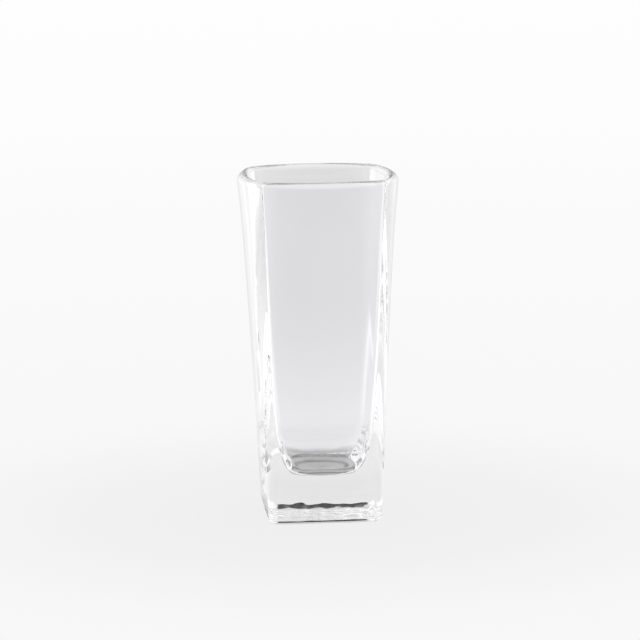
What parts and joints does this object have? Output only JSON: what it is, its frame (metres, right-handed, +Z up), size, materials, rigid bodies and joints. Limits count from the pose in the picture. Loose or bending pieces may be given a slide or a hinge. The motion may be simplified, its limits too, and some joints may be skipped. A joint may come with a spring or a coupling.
{
  "type": "juice glass",
  "caption": "Clear square tumbler for juice, tapering outwards from a thick solid base to a rounder mouth with a rounded lip.",
  "frame": {"origin": "centre of the foot, on the surface that the glass stands on", "axes": "+Z up along the axis of the glass; -Y is the side that faces the camera in the picture, +X is to its right"},
  "size_m": [0.0636, 0.0636, 0.137],
  "materials": {
    "clear_glass": "clear, colourless, fire-polished"
  },
  "bodies": {
    "root": {"base": "clear_glass", "wall": "clear_glass", "rim": "clear_glass"}
  },
  "joints": []
}
